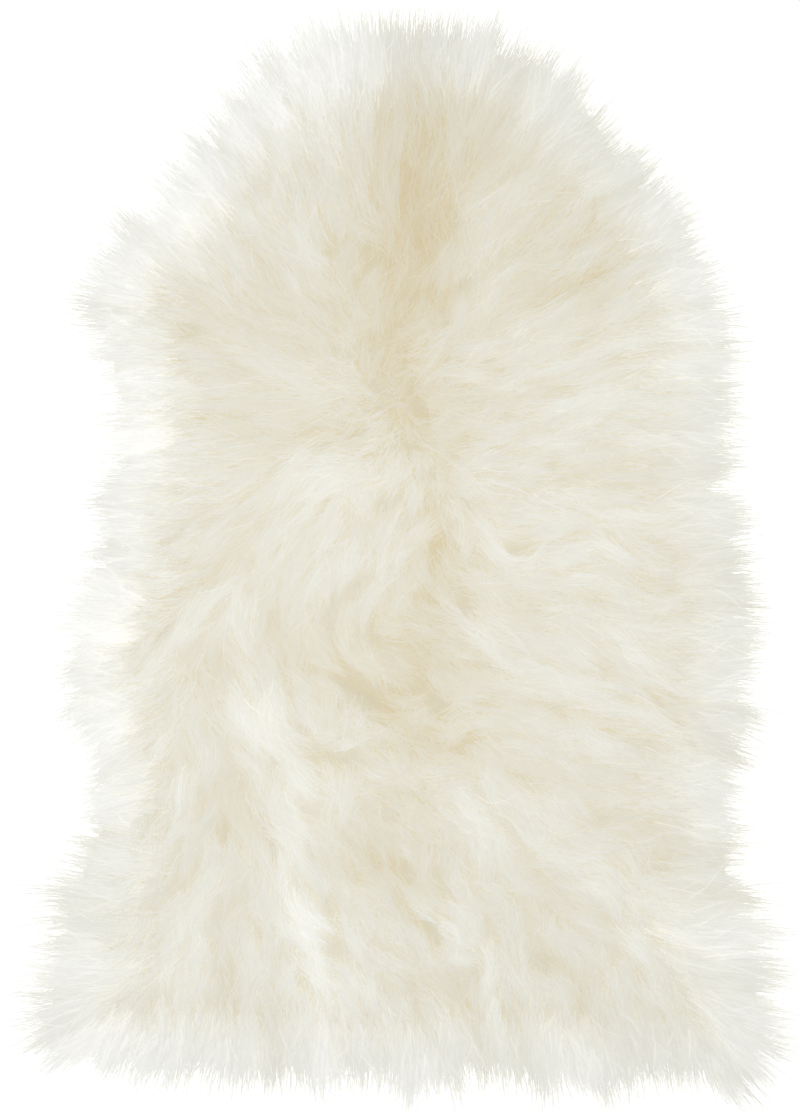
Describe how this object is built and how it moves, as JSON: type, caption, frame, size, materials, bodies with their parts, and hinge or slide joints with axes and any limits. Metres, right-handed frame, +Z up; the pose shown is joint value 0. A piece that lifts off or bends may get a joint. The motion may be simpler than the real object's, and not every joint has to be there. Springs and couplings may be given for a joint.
{
  "type": "sheepskin rug",
  "caption": "Single long-wool sheepskin lying flat, wool side up: a waisted pelt outline with a narrow neck end, a wide tail end and wool falling past the skin all round.",
  "frame": {"origin": "on the flat skin side, near the middle of the pelt, where it rests on the floor", "axes": "+Y from the tail to the neck, +Z up out of the wool, +X to the right of the pelt seen from above with the neck away"},
  "size_m": [0.686, 0.9566, 0.0673],
  "materials": {
    "wool": "matte",
    "skin_side": "matte"
  },
  "bodies": {
    "root": {"sheepskin": "wool"}
  },
  "joints": []
}
